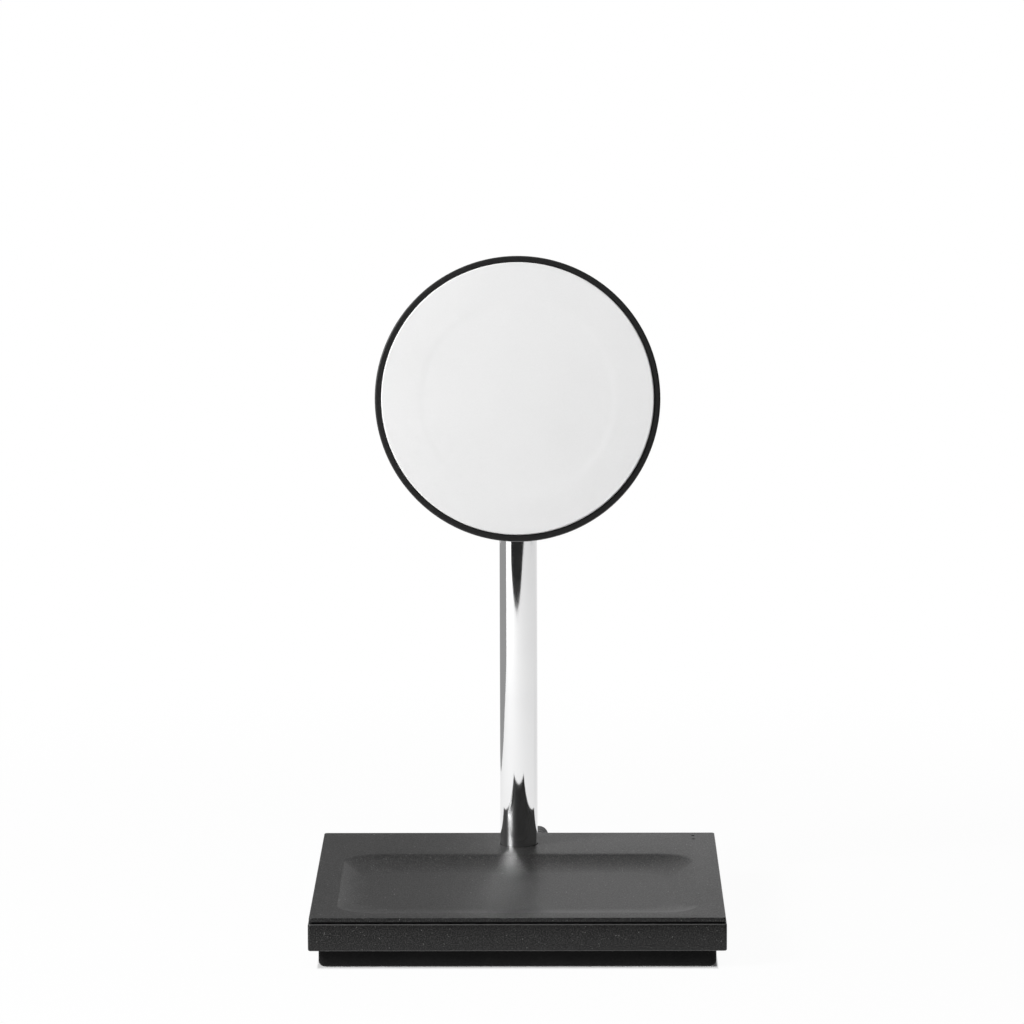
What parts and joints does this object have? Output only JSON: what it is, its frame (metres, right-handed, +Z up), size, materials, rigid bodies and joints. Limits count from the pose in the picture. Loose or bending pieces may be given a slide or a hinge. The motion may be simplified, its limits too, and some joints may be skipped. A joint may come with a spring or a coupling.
{
  "type": "magnetic wireless charger stand",
  "caption": "Desk charging stand: square weighted base with a dished charging tray, a slim chrome pole and a tilting round magnetic charging head.",
  "frame": {"origin": "middle of the foot's underside, on the table", "axes": "+Z up along the pole, -Y towards the user, so the tray is in front of the pole; +X to the user's right"},
  "size_m": [0.085, 0.1002, 0.1386],
  "materials": {
    "charcoal_soft_touch": "soft-touch coat with a fine grain",
    "black_rubber": "matte moulded rubber",
    "grey_rubber": "matte moulded rubber",
    "chrome": "polished chrome plate",
    "black_housing": "black anodised, satin",
    "white_pad": "fine satin",
    "bright_steel": "plain plated steel",
    "magnet": "nickel plated",
    "copper": "enamelled wire",
    "ferrite": "sintered, matte",
    "board": "solder mask",
    "carrier": "moulded",
    "clear_guide": "clear moulded",
    "lead": "insulated lead"
  },
  "bodies": {
    "base": {"foot": "black_rubber", "ballast_plate": "bright_steel", "base_body": "charcoal_soft_touch", "tray_cover": "charcoal_soft_touch", "tray_coil": "copper", "tray_ferrite": "ferrite", "circuit_board": "board", "light_guide": "clear_guide", "cover_screws": "bright_steel", "board_screws": "bright_steel", "cable_gland": "grey_rubber", "pole": "chrome", "pole_nut": "bright_steel", "pole_lead": "lead", "hinge_knuckle": "chrome"},
    "head": {"hinge_pin": "bright_steel", "friction_washer_left": "bright_steel", "friction_washer_right": "bright_steel", "hinge_cap_left": "black_housing", "hinge_cap_right": "black_housing", "hinge_bracket": "black_housing", "head_housing": "black_housing", "bracket_screws": "bright_steel", "head_lead": "lead", "coil_carrier": "carrier", "head_ferrite": "ferrite", "head_coil": "copper", "magnet_yoke": "bright_steel", "magnet_ring": "magnet", "charging_pad": "white_pad"}
  },
  "joints": [
    {"name": "head_tilt", "type": "hinge", "parent": "base", "child": "head", "pos_m": [0, 0.031, 0.1064], "axis": [-1, 0, 0], "range_deg": [-10, 50]}
  ]
}
